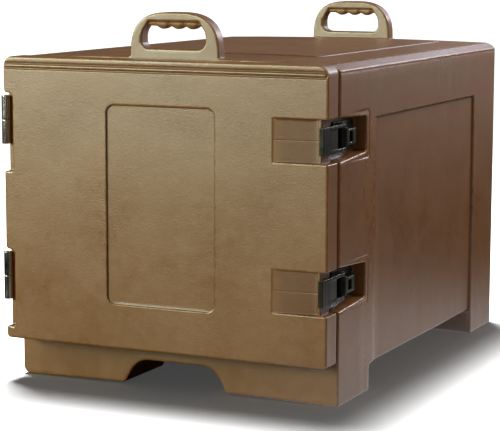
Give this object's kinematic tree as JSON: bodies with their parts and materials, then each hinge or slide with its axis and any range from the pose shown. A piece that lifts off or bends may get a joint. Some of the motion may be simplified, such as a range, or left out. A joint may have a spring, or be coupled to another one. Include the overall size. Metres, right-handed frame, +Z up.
{
  "type": "insulated food carrier",
  "caption": "Foam-filled moulded food carrier: hinged front door, two side lever latches, two top carrying handles, four moulded feet and ledges for sheet pans inside.",
  "frame": {"origin": "centre of the carrier's whole outline at floor level, under the feet", "axes": "+Z up; the door faces -Y, with its hinges on the -X side and its latches on the +X side; +Y runs to the back"},
  "size_m": [0.585, 0.836, 0.615],
  "materials": {
    "moulding": "satin",
    "foam": "matte",
    "plug": "satin",
    "gasket": "matte",
    "insert": "satin",
    "washer": "satin",
    "hinge_steel": "polished",
    "fastener_steel": "satin",
    "latch_nylon": "satin"
  },
  "bodies": {
    "body": {"body_shell": "moulding", "body_handle_front": "moulding", "body_handle_rear": "moulding", "body_feet": "moulding", "body_pan_ledges": "moulding", "body_foam": "foam", "body_fill_plug": "plug", "hinge_leaf_body_upper": "hinge_steel", "hinge_leaf_body_lower": "hinge_steel", "hinge_pin_upper": "fastener_steel", "hinge_pin_lower": "fastener_steel", "hinge_washers": "washer", "hinge_screws_body": "fastener_steel", "hinge_inserts_body": "insert", "latch_base_upper": "latch_nylon", "latch_base_lower": "latch_nylon", "latch_pin_upper": "fastener_steel", "latch_pin_lower": "fastener_steel", "latch_screws": "fastener_steel", "latch_inserts": "insert"},
    "door": {"door_shell": "moulding", "door_foam": "foam", "door_fill_plug": "plug", "door_gasket": "gasket", "hinge_leaf_door_upper": "hinge_steel", "hinge_leaf_door_lower": "hinge_steel", "hinge_screws_door": "fastener_steel", "hinge_inserts_door": "insert"},
    "latch_upper": {"latch_lever_upper": "latch_nylon"},
    "latch_lower": {"latch_lever_lower": "latch_nylon"}
  },
  "joints": [
    {"name": "door_hinge", "type": "hinge", "parent": "body", "child": "door", "pos_m": [-0.2855, -0.4108, 0], "axis": [0, 0, -1], "range_deg": [0, 225]},
    {"name": "latch_upper_pivot", "type": "hinge", "parent": "body", "child": "latch_upper", "pos_m": [0.2795, -0.326, 0.42375], "axis": [0, 0, 1], "range_deg": [0, 110]},
    {"name": "latch_lower_pivot", "type": "hinge", "parent": "body", "child": "latch_lower", "pos_m": [0.2795, -0.326, 0.18775], "axis": [0, 0, 1], "range_deg": [0, 110]}
  ]
}
